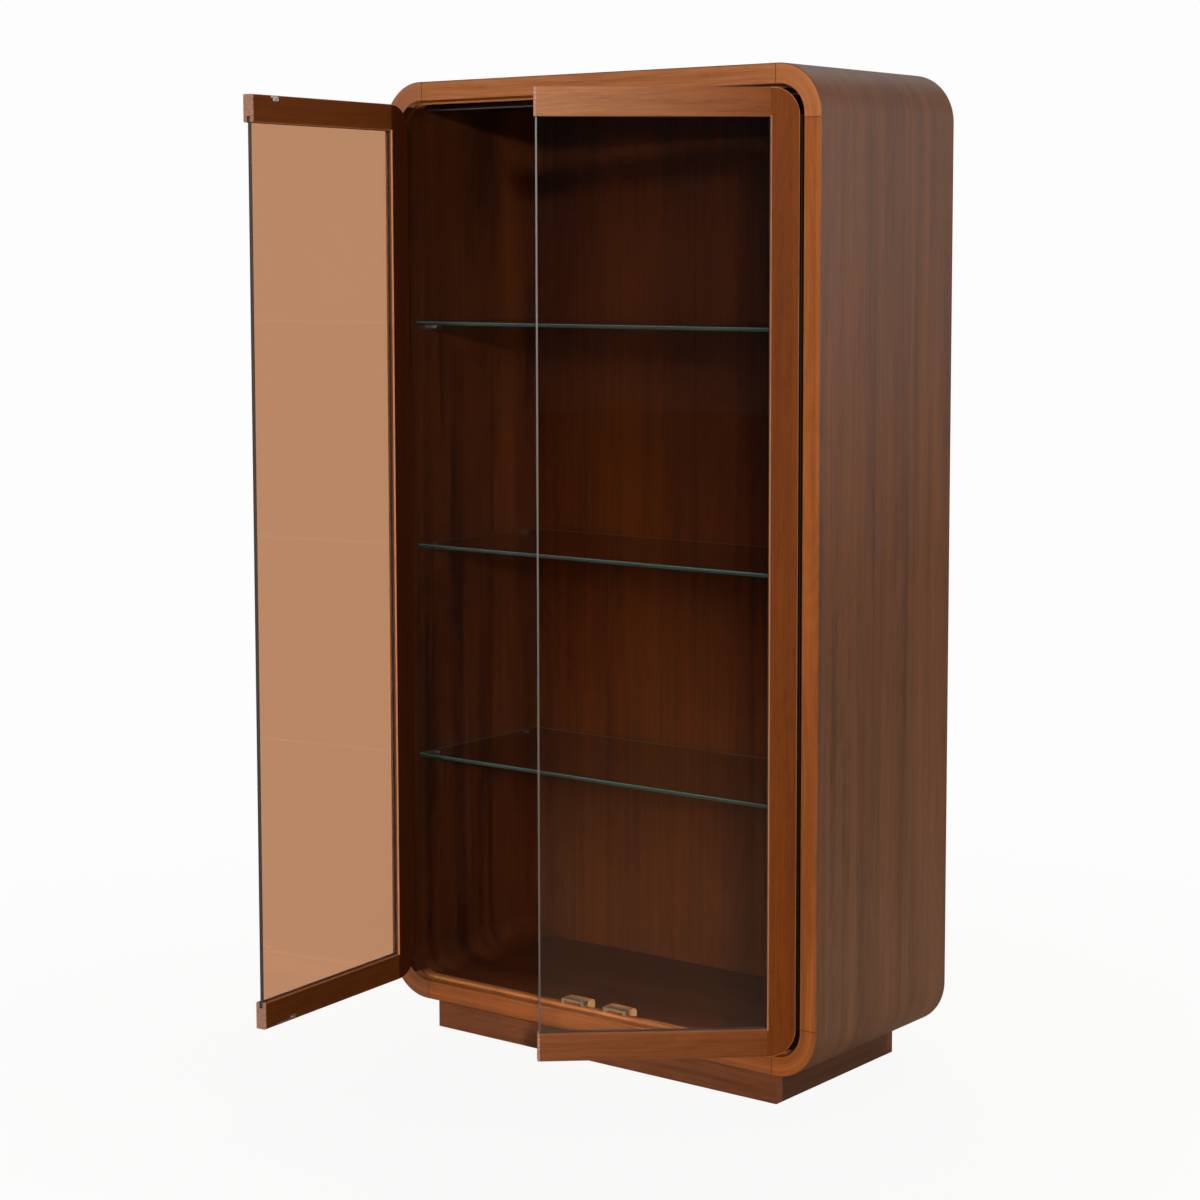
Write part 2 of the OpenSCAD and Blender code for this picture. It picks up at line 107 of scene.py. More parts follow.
class Shader:
    """The nodes of a new material or world, with short calls that add and join them."""

    def __init__(self, name, world=False):
        owners = bpy.data.worlds if world else bpy.data.materials
        self.owner = owners.new(name)
        self.owner.use_nodes = True
        self.tree = self.owner.node_tree
        self.tree.nodes.clear()
        self.output = self.add("OutputWorld" if world else "OutputMaterial")

    def plug(self, socket, value):
        """Joins an input to an output, or sets it to a constant."""
        if isinstance(value, bpy.types.NodeSocket):
            self.tree.links.new(value, socket)
        else:
            socket.default_value = value

    def add(self, kind, inputs=None, **settings):
        """A new node with its settings, and its inputs by name or by index."""
        node = self.tree.nodes.new("ShaderNode" + kind)
        for name, value in settings.items():
            setattr(node, name, value)
        for key, value in (inputs or {}).items():
            self.plug(node.inputs[key], value)
        return node

    def place(self):
        """Where a point lies in the frame, which it keeps when a door is posed."""
        return self.add("TexCoord").outputs["Object"]

    def normal(self):
        """Where a face looks, which it keeps when a door is posed."""
        return self.add("TexCoord").outputs["Normal"]

    def split(self, vector):
        """The X, Y and Z of a vector."""
        return self.add("SeparateXYZ", {0: vector}).outputs

    def dot(self, vector, direction):
        node = self.add("VectorMath", {0: vector, 1: tuple(direction)}, operation="DOT_PRODUCT")
        return node.outputs["Value"]

    def math(self, operation, first, second=0.0):
        return self.add("Math", {0: first, 1: second}, operation=operation).outputs[0]

    def total(self, *parts):
        """The sum of (value, weight) pairs."""
        terms = [self.math("MULTIPLY", value, weight) for value, weight in parts]
        result = terms[0]
        for term in terms[1:]:
            result = self.math("ADD", result, term)
        return result

    def climb(self, value, start, end):
        """0 up to the start and 1 from the end, and even between them."""
        node = self.add("MapRange", {"Value": value, "From Min": start, "From Max": end})
        return node.outputs[0]

    def ramp(self, value, stops):
        """A colour ramp through (position, colour) stops."""
        node = self.add("ValToRGB", {0: value})
        elements = node.color_ramp.elements
        while len(elements) < len(stops):
            elements.new(0.5)
        for element, (position, colour) in zip(elements, stops):
            element.position = position
            element.color = colour
        return node.outputs[0]

    def mix(self, share, first, second, blend="MIX"):
        """Two colours, the second by its share."""
        node = self.add("Mix", {0: share, 6: first, 7: second}, data_type="RGBA", blend_type=blend)
        return node.outputs[2]

    def blend(self, share, first, second):
        """Two shaders, the second by its share."""
        return self.add("MixShader", {0: share, 1: first, 2: second}).outputs[0]

    def noise(self, vector, detail=3.0, roughness=0.5, scale=1.0, distortion=0.0):
        node = self.add("TexNoise", {
            "Vector": vector, "Scale": scale, "Detail": detail,
            "Roughness": roughness, "Distortion": distortion,
        })
        return node.outputs[0]

    def bump(self, height, strength, distance):
        node = self.add("Bump", {"Height": height, "Strength": strength, "Distance": distance})
        return node.outputs[0]

    def principled(self, inputs):
        return self.add("BsdfPrincipled", inputs).outputs[0]

    def surface(self, shader):
        """Ends the nodes with a shader, and gives the material or world."""
        self.plug(self.output.inputs["Surface"], shader)
        return self.owner


def finish_node(name, material):
    """Gives a CAD node its material."""
    slots = nodes[name].data.materials
    slots.clear()
    slots.append(material)


# Wood -----------------------------------------------------------------------

X, Y, Z = Vector((1, 0, 0)), Vector((0, 1, 0)), Vector((0, 0, 1))
# The case is a ring of boards round a core: its half width, its foot and head,
# and how far out of it the outside lies, which is the radius of the corners.
CORE_X, CORE_LOW, CORE_HIGH = 0.370, 0.134, 1.580
CORNER_R = 0.080
HALF_CORE = (CORE_HIGH - CORE_LOW) / 2
CORNER_ARC = CORNER_R * math.pi / 2
# How far a corner block runs on past its arc at each end.
CORNER_LEG = 0.005
BOARD_T = 0.032
STOP_FRONT = -0.182

# Noise layers: waves per metre along and across the grain, then detail,
# roughness and distortion.
BROAD = (0.9, 9.0, 3, 0.55, 0.4)
BAND = (0.7, 42.0, 2, 0.5, 0.6)
STREAK = (2.0, 170.0, 3, 0.6, 0.0)
FIBRE = (12.0, 520.0, 2, 0.6, 0.0)
PORE = (40.0, 1400.0, 1, 0.5, 0.0)
LEVELS = (1.1, 7.0, 2, 0.45, 0.3)
# How closely the contour lines follow on each other.
CONTOURS = 150.0
SEED_STEP = (1.37, 0.71, 2.13)

# Where the ramp of tones is dark, plain and light, and how far it goes.
TONE_AT = (0.36, 0.50, 0.64)
DARK_LOSS = (0.38, 0.44, 0.48)
LIGHT_GAIN = 0.36

FIBRE_LINES = [(0.30, (0.80, 0.77, 0.74, 1)), (0.62, (1.05, 1.05, 1.05, 1))]
FIBRE_SHARE = 0.75
PORE_LINES = [(0.30, (0.55, 0.50, 0.46, 1)), (0.40, (1, 1, 1, 1))]
PORE_SHARE = 0.6
ROUGH_SPREAD = 0.16
LACQUER_RELIEF = (0.22, 0.0004)

# Lacquers: mean roughness and specular level. The top is dull, because the
# key's mirror image whitens it at a grazing angle from behind.
CASE_LACQUER = (0.42, 0.36)
TOP_LACQUER = (0.60, 0.03)
TRIM_LACQUER = (0.45, 0.3)
DOOR_LACQUER = (0.60, 0.08)
BACK_LACQUER = (0.6, 0.06)

# How strong the figure or the contrast of each board's grain is.
BACK_FIGURE = 1.35
DOOR_FIGURE = 0.8
DOOR_CONTRAST = 0.8
LIP_CONTRAST = 0.8
VENEER_CONTRAST = 1.1
VENEER_SHEEN_CONTRAST = 0.8
LINING_CONTRAST = 2.1
FLOOR_CONTRAST = 1.3
END_HIGHLIGHT_CONTRAST = 0.5

# A face that looks squarely along a direction has at least this cosine.
SQUARE = 0.9
# The cosines between which a face is a door's chamfer.
CHAMFER = (0.3, 0.95)
# How much of the painted highlight the chamfers of stiles and rails take.
STILE_CHAMFER_HIGHLIGHT = 0.75
RAIL_CHAMFER_HIGHLIGHT = 0.2
# The cosines between which a face of the floor turns level.
FLOOR_LEVEL = (0.5, 0.95)
# A face whose cosine along X is above this belongs to an upright board.
UPRIGHT = 0.6
# The shares of a corner's arc between which a stop turns upright.
STOP_UPRIGHT = (0.9, 0.6)
# The width of the painted highlight along a rail's free end.
END_HIGHLIGHT_W = 0.0035
HAIRLINE = 0.0007
HAIRLINE_SHARE = 0.8


def grain_axes(along, across):
    """The turn that lays the grain's X axis along a board."""
    return Matrix((along, across, along.cross(across))).to_4x4()


def grain_vector(shader, axes, seed):
    """Object coordinates turned so that X runs along the grain."""
    turned = shader.add("Mapping", {
        "Vector": shader.place(), "Rotation": tuple(axes.to_euler("XYZ")),
        "Location": tuple(seed * step for step in SEED_STEP),
    })
    return turned.outputs[0]


class Wrap:
    """Where a point of the case lies on the ring of boards, unrolled.

    along runs up a side, round the corner and along the top or bottom, so the
    veneer's grain bends with the corner. out is the distance from the core of
    the ring: the outside of the case is at CORNER_R, the inside a board less.
    """

    def __init__(self, shader):
        calc = shader.math
        x, self.y, self.z = shader.split(shader.place())
        self.facing_y = shader.split(shader.normal())[1]
        x = calc("ABSOLUTE", x)
        rise = calc("SUBTRACT", self.z, (CORE_LOW + CORE_HIGH) / 2)
        up = calc("ABSOLUTE", rise)
        near_x = calc("MINIMUM", x, CORE_X)
        near_up = calc("MINIMUM", up, HALF_CORE)
        off_x = calc("SUBTRACT", x, near_x)
        off_up = calc("SUBTRACT", up, near_up)
        squares = calc("ADD", calc("MULTIPLY", off_x, off_x), calc("MULTIPLY", off_up, off_up))
        self.out = calc("SQRT", squares)
        arc = calc("MULTIPLY", calc("ARCTAN2", off_up, off_x), CORNER_R)
        run = calc("ADD", calc("ADD", near_up, arc), calc("SUBTRACT", CORE_X, near_x))
        self.along = calc("MULTIPLY", run, calc("SIGN", rise))
        unrolled = shader.add("CombineXYZ", {0: self.along, 1: self.y, 2: self.out})
        self.vector = unrolled.outputs[0]


def stretched(shader, vector, along, across):
    """The grain vector with one frequency along the grain and one across."""
    node = shader.add("Mapping", {"Vector": vector, "Scale": (along, across, across)})
    return node.outputs[0]


def layer(shader, vector, along, across, detail, roughness, distortion):
    """One noise layer of the grain."""
    drawn_out = stretched(shader, vector, along, across)
    return shader.noise(drawn_out, detail, roughness, distortion=distortion)


def grain(shader, vector, figure=1.0):
    """Walnut grain along X: (tone from 0 to 1, fine fibres, pores)."""
    broad = layer(shader, vector, *BROAD)
    band = layer(shader, vector, *BAND)
    streak = layer(shader, vector, *STREAK)
    fibre = layer(shader, vector, *FIBRE)
    pore = layer(shader, vector, *PORE)
    levels = layer(shader, vector, *LEVELS)
    contour = shader.math("SINE", shader.math("MULTIPLY", levels, CONTOURS))
    tone = shader.total((broad, 0.40), (band, 0.35), (streak, 0.25), (contour, 0.020))
    spread = shader.math("MULTIPLY", shader.math("SUBTRACT", tone, 0.5), figure)
    return shader.math("ADD", spread, 0.5), fibre, pore


def toned(shader, tone, lines, contrast=1.0):
    """The colour of the wood at each tone, round its mean colour."""
    light = tuple(min(1.0, c * (1 + LIGHT_GAIN * contrast)) for c in tone[:3]) + (1.0,)
    dark = tuple(c * (1 - loss * contrast) for c, loss in zip(tone[:3], DARK_LOSS)) + (1.0,)
    return shader.ramp(lines, list(zip(TONE_AT, (dark, tone, light))))


def lacquered(shader, colour, fibre, pore, lacquer):
    """Wood colour under satin lacquer, with fibres and open pores."""
    gloss, specular = lacquer
    colour = shader.mix(FIBRE_SHARE, colour, shader.ramp(fibre, FIBRE_LINES), "MULTIPLY")
    colour = shader.mix(PORE_SHARE, colour, shader.ramp(pore, PORE_LINES), "MULTIPLY")
    spread = shader.math("MULTIPLY", fibre, ROUGH_SPREAD)
    height = shader.total((fibre, 0.6), (pore, 0.4))
    return shader.surface(shader.principled({
        "Base Color": colour,
        "Roughness": shader.math("ADD", spread, gloss - ROUGH_SPREAD / 2),
        "Normal": shader.bump(height, *LACQUER_RELIEF),
        "Specular IOR Level": specular,
    }))


def facing(shader, direction):
    """How squarely a face looks along a direction or against it, from 0 to 1."""
    return shader.math("ABSOLUTE", shader.dot(shader.normal(), direction))


def plinth_walnut(name, along, seed):
    """A solid board of the plinth, with straight grain."""
    shader = Shader("wood_" + name)
    lines, fibre, pore = grain(shader, grain_vector(shader, grain_axes(along, Z), seed))
    # The right board's tone carries painted shade.
    tone = PLINTH_TONES_AND_SHADE.get(name, PLINTH_REST)
    return lacquered(shader, toned(shader, tone, lines), fibre, pore, TRIM_LACQUER)


def back_walnut(seed):
    """The back panel's veneer, with painted light that makes it lighter towards the foot."""
    shader = Shader("wood_back")
    vector = grain_vector(shader, grain_axes(Z, Y), seed)
    lines, fibre, pore = grain(shader, vector, BACK_FIGURE)
    # Painted light: the back panel grows lighter towards the foot, as more of the lamp reaches it.
    low = shader.climb(shader.split(shader.place())[2], BACK_SHADE_Z, BACK_LIT_Z)
    colour = shader.mix(low, toned(shader, INTERIOR, lines), toned(shader, BACK_LIT_FOOT, lines))
    return lacquered(shader, colour, fibre, pore, BACK_LACQUER)


def run_along(shader, along, node):
    """How far a point lies along a direction, and where the node starts and ends there."""
    ends = [along.dot(vertex.co) for vertex in nodes[node].data.vertices]
    return shader.dot(shader.place(), along), min(ends), max(ends)


def free_border(shader, along, node, width):
    """A mask of the last strip of a door's piece, beside the door's free edge."""
    run, _, reach = run_along(shader, along, node)
    return shader.math("GREATER_THAN", run, reach - width)


def stop_walnut(name, along, seed):
    """A stop strip: pale where it is level. Where it is upright it has painted shade: the dark
    tone of the inside.
    """
    shader = Shader("wood_" + name)
    lines, fibre, pore = grain(shader, grain_vector(shader, grain_axes(along, Y), seed))
    past_core = shader.math("SUBTRACT", shader.math("ABSOLUTE", Wrap(shader).along), HALF_CORE)
    start, end = STOP_UPRIGHT
    # Painted shade: where the stop is upright, it takes the inside's dark tone.
    upright = shader.climb(past_core, start * CORNER_ARC, end * CORNER_ARC)
    colour = shader.mix(upright, toned(shader, STOP, lines), toned(shader, INTERIOR, lines))
    return lacquered(shader, colour, fibre, pore, TRIM_LACQUER)


def chamfer(shader, normal):
    """A mask of the faces at a slant to a door's faces."""
    flat = facing(shader, normal)
    slanted = shader.math("GREATER_THAN", flat, CHAMFER[0])
    return shader.math("MULTIPLY", slanted, shader.math("LESS_THAN", flat, CHAMFER[1]))


def door_walnut(name, along, normal, seed):
    """A door board: dark inside. Its chamfers and its rails' free ends carry a painted highlight,
    and some rails a painted sheen that grows towards the free end.
    """
    shader = Shader("wood_" + name)
    is_rail = "rail" in name
    vector = grain_vector(shader, grain_axes(along, normal), seed)
    lines, fibre, pore = grain(shader, vector, DOOR_FIGURE)
    colour = toned(shader, DOOR[name], lines, DOOR_CONTRAST)
    # Painted sheen: the rail grows paler towards its free end, as if it caught the lamps.
    if name in FREE_END_SHEEN:
        sheen_share = shader.climb(*run_along(shader, along, name))
        colour = shader.mix(sheen_share, colour, toned(shader, FREE_END_SHEEN[name], lines, DOOR_CONTRAST))
    inward = shader.math("GREATER_THAN", shader.dot(shader.normal(), normal), SQUARE)
    dark = toned(shader, RAIL_INSIDE if is_rail else STILE_INSIDE, lines, DOOR_CONTRAST)
    colour = shader.mix(inward, colour, dark)
    # Painted highlight on the chamfers, as if they caught the lamps.
    highlight_share = RAIL_CHAMFER_HIGHLIGHT if is_rail else STILE_CHAMFER_HIGHLIGHT
    colour = shader.mix(shader.math("MULTIPLY", chamfer(shader, normal), highlight_share), colour, BEVEL_HIGHLIGHT)
    if is_rail:
        # Painted highlight on the rail's free end, as the lamps' reflection there.
        end = free_border(shader, along, name, END_HIGHLIGHT_W)
        colour = shader.mix(end, colour, toned(shader, END_HIGHLIGHT, fibre, END_HIGHLIGHT_CONTRAST))
    return lacquered(shader, colour, fibre, pore, DOOR_LACQUER)


def corner_joint(shader, wrap):
    """A hairline on each side of a corner, where two boards of the case meet."""
    span = (CORNER_ARC + 2 * CORNER_LEG) / 2
    middle = HALF_CORE - CORNER_LEG + span
    off = shader.math("SUBTRACT", shader.math("ABSOLUTE", wrap.along), middle)
    off = shader.math("SUBTRACT", shader.math("ABSOLUTE", off), span)
    line = shader.math("LESS_THAN", shader.math("ABSOLUTE", off), HAIRLINE)
    return shader.math("MULTIPLY", line, HAIRLINE_SHARE)


def veneer(shader, wrap, lines):
    """The veneer outside, with a painted sheen that makes it lighter and greyer towards the foot.
    """
    # Painted sheen: lighter and greyer towards the foot, as of the floor's reflection.
    low = shader.climb(wrap.z, VENEER_SHEEN_START_Z, VENEER_SHEEN_FULL_Z)
    plain = toned(shader, VENEER, lines, VENEER_CONTRAST)
    return shader.mix(low, plain, toned(shader, VENEER_FOOT_SHEEN, lines, VENEER_SHEEN_CONTRAST))


def lining(shader, wrap, lines, is_floor):
    """The dark veneer inside. The floor has painted light that makes it lighter towards the front.
    """
    dark = toned(shader, INTERIOR, lines, LINING_CONTRAST)
    if not is_floor:
        return dark
    # Painted light on the level floor, growing towards the front.
    lit_front = shader.climb(wrap.y, FLOOR_SHADE_Y, STOP_FRONT)
    level = shader.climb(facing(shader, Z), *FLOOR_LEVEL)
    light = toned(shader, FLOOR_LIT_FRONT, lines, FLOOR_CONTRAST)
    return shader.mix(shader.math("MULTIPLY", lit_front, level), dark, light)


def case_walnut(name, tone):
    """A board of the case: light lipping in front, veneer outside, darker inside."""
    shader = Shader("wood_" + name)
    wrap = Wrap(shader)
    lines, fibre, pore = grain(shader, wrap.vector)
    within = shader.math("LESS_THAN", wrap.out, CORNER_R - BOARD_T / 2)
    inside = lining(shader, wrap, lines, "bottom" in name)
    colour = shader.mix(within, veneer(shader, wrap, lines), inside)
    front = shader.math("LESS_THAN", wrap.facing_y, -SQUARE)
    # Painted shade: the strip in front of the stops takes the lipping's tone only where it is
    # level, and keeps the dark inside tone on the upright jambs.
    strip = shader.math("MULTIPLY", within, shader.math("LESS_THAN", wrap.y, STOP_FRONT))
    level = shader.math("LESS_THAN", facing(shader, X), UPRIGHT)
    lipped = shader.math("MAXIMUM", front, shader.math("MULTIPLY", strip, level))
    colour = shader.mix(lipped, colour, toned(shader, tone, lines, LIP_CONTRAST))
    joint = shader.math("MULTIPLY", corner_joint(shader, wrap), front)
    colour = shader.mix(joint, colour, JOINT_LINE)
    lacquer = TOP_LACQUER if name == "top_panel" else CASE_LACQUER
    return lacquered(shader, colour, fibre, pore, lacquer)


def door_axes(side):
    """How a door lies at rest: from its hinge to its free edge, and its inward normal."""
    joint = joints[side + "_door_hinge"]
    closed = Matrix.Rotation(math.radians(-joint["range_deg"][0]), 3, Vector(joint["axis"]))
    return closed @ (X if side == "left" else -X), closed @ Y


# The tones of the boards. The first table is the front edge of each board of the case; the top
# panel and the top corners are paler and pinker by a painted sheen.
LIPPING_AND_TOP_SHEEN = {
    "top_panel": linear(168, 107, 67),
    "top_left_corner": linear(160, 101, 67),
    "top_right_corner": linear(170, 104, 58),
    "bottom_panel": linear(138, 77, 36),
    "bottom_left_corner": linear(128, 76, 44),
    "bottom_right_corner": linear(146, 80, 34),
    "left_side_panel": linear(146, 80, 32),
    "right_side_panel": linear(152, 84, 33),
}
# Each veneer has a second tone, and the two heights or depths between which the one goes over into
# the other.
# These second tones are painted light: a sheen on the foot of the outside, the lit foot of the
# back panel and the lit front of the inside floor.
VENEER = linear(84, 47, 18)
VENEER_FOOT_SHEEN = linear(94, 62, 43)
VENEER_SHEEN_START_Z = 0.85
VENEER_SHEEN_FULL_Z = 0.25
INTERIOR = linear(44, 16, 1)
FLOOR_LIT_FRONT = linear(72, 34, 12)
FLOOR_SHADE_Y = 0.08
BACK_LIT_FOOT = linear(63, 27, 6)
BACK_SHADE_Z = 1.0
BACK_LIT_Z = 0.35
STOP = linear(158, 96, 52)
# The plinth's right board is darker by painted shade, as if under the case's overhang.
PLINTH_TONES_AND_SHADE = {"plinth_front": linear(108, 62, 36), "plinth_right": linear(66, 38, 22)}
PLINTH_REST = linear(84, 46, 27)
STILE_INSIDE = linear(50, 18, 2)
RAIL_INSIDE = linear(84, 41, 9)
# The painted highlight on the doors' chamfers.
BEVEL_HIGHLIGHT = linear(186, 124, 84)
# The painted highlight on the rails' free ends.
END_HIGHLIGHT = linear(160, 122, 104)
JOINT_LINE = linear(62, 30, 14)
DOOR = {
    "left_stile": linear(112, 56, 16),
    "left_top_rail": linear(124, 70, 36),
    "left_bottom_rail": linear(130, 74, 38),
    "right_stile": linear(100, 47, 3),
    "right_top_rail": linear(112, 58, 19),
    "right_bottom_rail": linear(106, 56, 21),
}
# The painted sheen at a rail's free end: the tone the rail grows into along its length, as if lit
# there.
FREE_END_SHEEN = {"right_top_rail": linear(152, 103, 70), "right_bottom_rail": linear(116, 66, 36)}

# Where each family of boards starts to take its seeds.
BACK_SEED = 21
STOP_SEED = 30
PLINTH_SEED = 50
DOOR_SEED = 60


def finish_wood():
    for name, tone in LIPPING_AND_TOP_SHEEN.items():
        finish_node(name, case_walnut(name, tone))
    finish_node("back_panel", back_walnut(BACK_SEED))
    for index, name in enumerate(n for n in nodes if "_stop" in n):
        along = Z if name in ("left_stop", "right_stop") else X
        finish_node(name, stop_walnut(name, along, STOP_SEED + index))
    for index, name in enumerate(n for n in nodes if n.startswith("plinth_")):
        along = X if name in ("plinth_front", "plinth_rear") else Y
        finish_node(name, plinth_walnut(name, along, PLINTH_SEED + index))
    for index, name in enumerate(DOOR):
        along, normal = door_axes(name.split("_")[0])
        along = Z if "stile" in name else along
        finish_node(name, door_walnut(name, along, normal, DOOR_SEED + index))


# Glass, metal and plastic ---------------------------------------------------

# The polished border along the free edge of a door's pane.
PANE_BORDER_W = 0.0028
PANE_TINT = (0.93, 0.92, 0.90, 1)
PANE_RIM = linear(70, 62, 58)
PANE_SHADOW = 0.78
PANE_SHINE = 0.2
# The pale line along the top of a shelf's edge.
SHELF_LIP = 0.0016
SHELF_TINT = (0.90, 0.97, 0.95, 1)
SHELF_RIM = linear(8, 38, 32)
SHELF_RIM_TOP = linear(54, 84, 79)
SHELF_SHADOW = 0.6
SHELF_SHINE = 0.5
# How high the lower lips of the light's profile are, which are painted paler as lit.
LIGHT_LIP = 0.0013
LIGHT_LIP_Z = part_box("light_profile")[0][2] + LIGHT_LIP

GLASS_IOR = 1.5
RIM_ROUGH = 0.5
RIM_CLEAR = 0.2

# Fine and wide noise as detail, roughness and scale; the share of the wide one
# in the tone, and how far the tone falls there; the bump's strength and height.
METAL_NOISE = ((4, 0.6, 900), (3, 0.5, 30))
METAL_FALL = (0.35, 0.7)
METAL_RELIEF = (0.1, 0.0001)
PLASTIC_NOISE = ((3, 0.6, 1400), (2, 0.5, 60))
PLASTIC_FALL = (0.3, 0.8)
PLASTIC_RELIEF = (0.15, 0.0002)
# How much fine scratches spread a metal's roughness.
SCRATCHES = 0.08
POLISHED = 0.04
# The drawn lines of the light's profile: waves per metre along and across.
DRAWN_ALONG, DRAWN_ACROSS = 30.0, 900.0
DRAWN_SHARE = 0.3

BRIGHT_PLATE = (0.70, 0.70, 0.70, 1)
CHROME = (0.86, 0.86, 0.86, 1)
WARM_STEEL = (0.88, 0.72, 0.54, 1)
HINGE_BRONZE = (0.014, 0.010, 0.008, 1)
SCREW_BRONZE = (0.060, 0.042, 0.030, 1)
SCREW_STEEL = (0.66, 0.66, 0.65, 1)
# The light's profile: dark as painted shade above, paler as painted light along its lower lips.
PROFILE_IN_SHADE = (0.012, 0.009, 0.007, 1)
PROFILE_LIT_LIP = (0.22, 0.17, 0.14, 1)
ANODISED_STREAK = (0.02, 0.016, 0.013, 1)
SEAL_BLACK = (0.012, 0.012, 0.012, 1)
DIFFUSER_GREY = (0.12, 0.11, 0.10, 1)
CAP_BLACK = (0.014, 0.012, 0.010, 1)
CATCH_TAN = linear(176, 126, 82)


def glass(shader, tint, rim, is_face, shadow, shine):
    """Clear float glass: a faint tint through its faces, a coloured rim, light shadows."""
    pane = shader.principled({
        "Base Color": tint, "Roughness": 0.0, "IOR": GLASS_IOR, "Transmission Weight": 1.0,
        "Specular IOR Level": shine,
    })
    edge = shader.principled({
        "Base Color": rim, "Roughness": RIM_ROUGH, "IOR": GLASS_IOR,
        "Transmission Weight": RIM_CLEAR,
    })
    body = shader.blend(is_face, edge, pane)
    clear = shader.add("BsdfTransparent", {"Color": grey(shadow)}).outputs[0]
    in_shadow = shader.add("LightPath").outputs["Is Shadow Ray"]
    return shader.surface(shader.blend(in_shadow, body, clear))


def door_glass(side):
    """A door's pane, with its polished free border."""
    along, normal = door_axes(side)
    shader = Shader("pane_" + side)
    border = free_border(shader, along, side + "_glass", PANE_BORDER_W)
    square = shader.math("GREATER_THAN", facing(shader, normal), SQUARE)
    is_face = shader.math("MULTIPLY", shader.math("SUBTRACT", 1.0, border), square)
    return glass(shader, PANE_TINT, PANE_RIM, is_face, PANE_SHADOW, PANE_SHINE)


def shelf_glass(name):
    """A shelf's glass, whose edge is pale along its top and deep green below."""
    shader = Shader("glass_" + name)
    height = shader.split(shader.place())[2]
    upper = shader.math("GREATER_THAN", height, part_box(name)[1][2] - SHELF_LIP)
    rim = shader.mix(upper, SHELF_RIM, SHELF_RIM_TOP)
    is_face = shader.math("GREATER_THAN", facing(shader, Z), SQUARE)
    return glass(shader, SHELF_TINT, rim, is_face, SHELF_SHADOW, SHELF_SHINE)


def mottled(shader, colour, noises, fall):
    """(A colour that falls off in wide patches, fine noise)."""
    place = shader.place()
    fine, wide = [shader.noise(place, *noise) for noise in noises]
    share, low = fall
    tone = shader.mix(shader.math("MULTIPLY", wide, share), colour, dimmed(colour, low))
    return tone, fine


def metal(name, colour, rough, scratch=SCRATCHES):
    """Metal with fine scratches."""
    shader = Shader(name)
    tone, fine = mottled(shader, colour, METAL_NOISE, METAL_FALL)
    spread = shader.math("MULTIPLY", fine, scratch)
    return shader.surface(shader.principled({
        "Base Color": tone, "Metallic": 1.0,
        "Roughness": shader.math("ADD", spread, rough - scratch / 2),
        "Normal": shader.bump(fine, *METAL_RELIEF),
    }))


def plastic(name, colour, rough):
    """Plastic or rubber with a fine moulded texture."""
    shader = Shader(name)
    tone, fine = mottled(shader, colour, PLASTIC_NOISE, PLASTIC_FALL)
    return shader.surface(shader.principled({
        "Base Color": tone, "Roughness": rough, "Normal": shader.bump(fine, *PLASTIC_RELIEF),
    }))


def light_bar():
    """Anodised aluminium: painted dark above as the shade of the case's border, and paler along
    its lower lips as painted light.
    """
    shader = Shader("anodised")
    place = shader.place()
    lip = shader.math("LESS_THAN", shader.split(place)[2], LIGHT_LIP_Z)
    fine = shader.noise(stretched(shader, place, DRAWN_ALONG, DRAWN_ACROSS), 3, 0.6)
    # Painted light on the lower lips, painted shade above them.
    tone = shader.mix(lip, PROFILE_IN_SHADE, PROFILE_LIT_LIP)
    tone = shader.mix(shader.math("MULTIPLY", fine, DRAWN_SHARE), tone, ANODISED_STREAK)
    return shader.surface(shader.principled({
        "Base Color": tone, "Metallic": 0.8, "Roughness": 0.42,
    }))


def finish_rest():
    for side in ("left", "right"):
        finish_node(side + "_glass", door_glass(side))
        finish_node(side + "_glazing_channel", plastic("seal_" + side, SEAL_BLACK, rough=0.6))
        finish_node(side + "_strikes", metal("strike_" + side, BRIGHT_PLATE, rough=0.35))
    for name in ("bottom_shelf", "middle_shelf", "top_shelf"):
        finish_node(name, shelf_glass(name))
    finish_node("shelf_supports", metal("chrome", CHROME, rough=0.16, scratch=POLISHED))
    finish_node("catch_poles", metal("pole_steel", WARM_STEEL, rough=0.45))
    bronze = metal("bronze", HINGE_BRONZE, rough=0.6)
    for name in nodes:
        if name.endswith("_leaf") or name.endswith("_pin"):
            finish_node(name, bronze)
    finish_node("light_profile", light_bar())
    finish_node("light_diffuser", plastic("diffuser", DIFFUSER_GREY, rough=0.5))
    finish_node("light_end_caps", plastic("cap", CAP_BLACK, rough=0.5))
    finish_node("catch_housings", plastic("catch_body", CATCH_TAN, rough=0.5))


# Screws ---------------------------------------------------------------------

HINGE_SCREWS = 14
HINGE_SCREW_R = 0.0023
# How far the hinge screws are from the rear edge of the leaves.
HINGE_SCREW_INSET = 0.006
STRIKE_SCREW_R = 0.0019
# Where the screw of a strike plate is: from its hinge side, and from its outer end.
STRIKE_SCREW_IN = 0.007
STRIKE_SCREW_RISE = 0.004
# The gap beside a door and the thickness of a hinge leaf, as in the CAD.
SIDE_GAP = 0.006
LEAF_T = 0.0012
# A head's outline, rim and flat top: their share of its radius and their height.
HEAD_RINGS = ((1.0, -0.0001), (0.95, 0.0002), (0.72, 0.0004))
HEAD_TOP = HEAD_RINGS[2][1]
HEAD_SIDES = 20
# The cross slot: its reach and half width as shares of the radius.
SLOT_REACH = 0.55
SLOT_HALF = 0.12
SLOT_FLOOR = 0.0


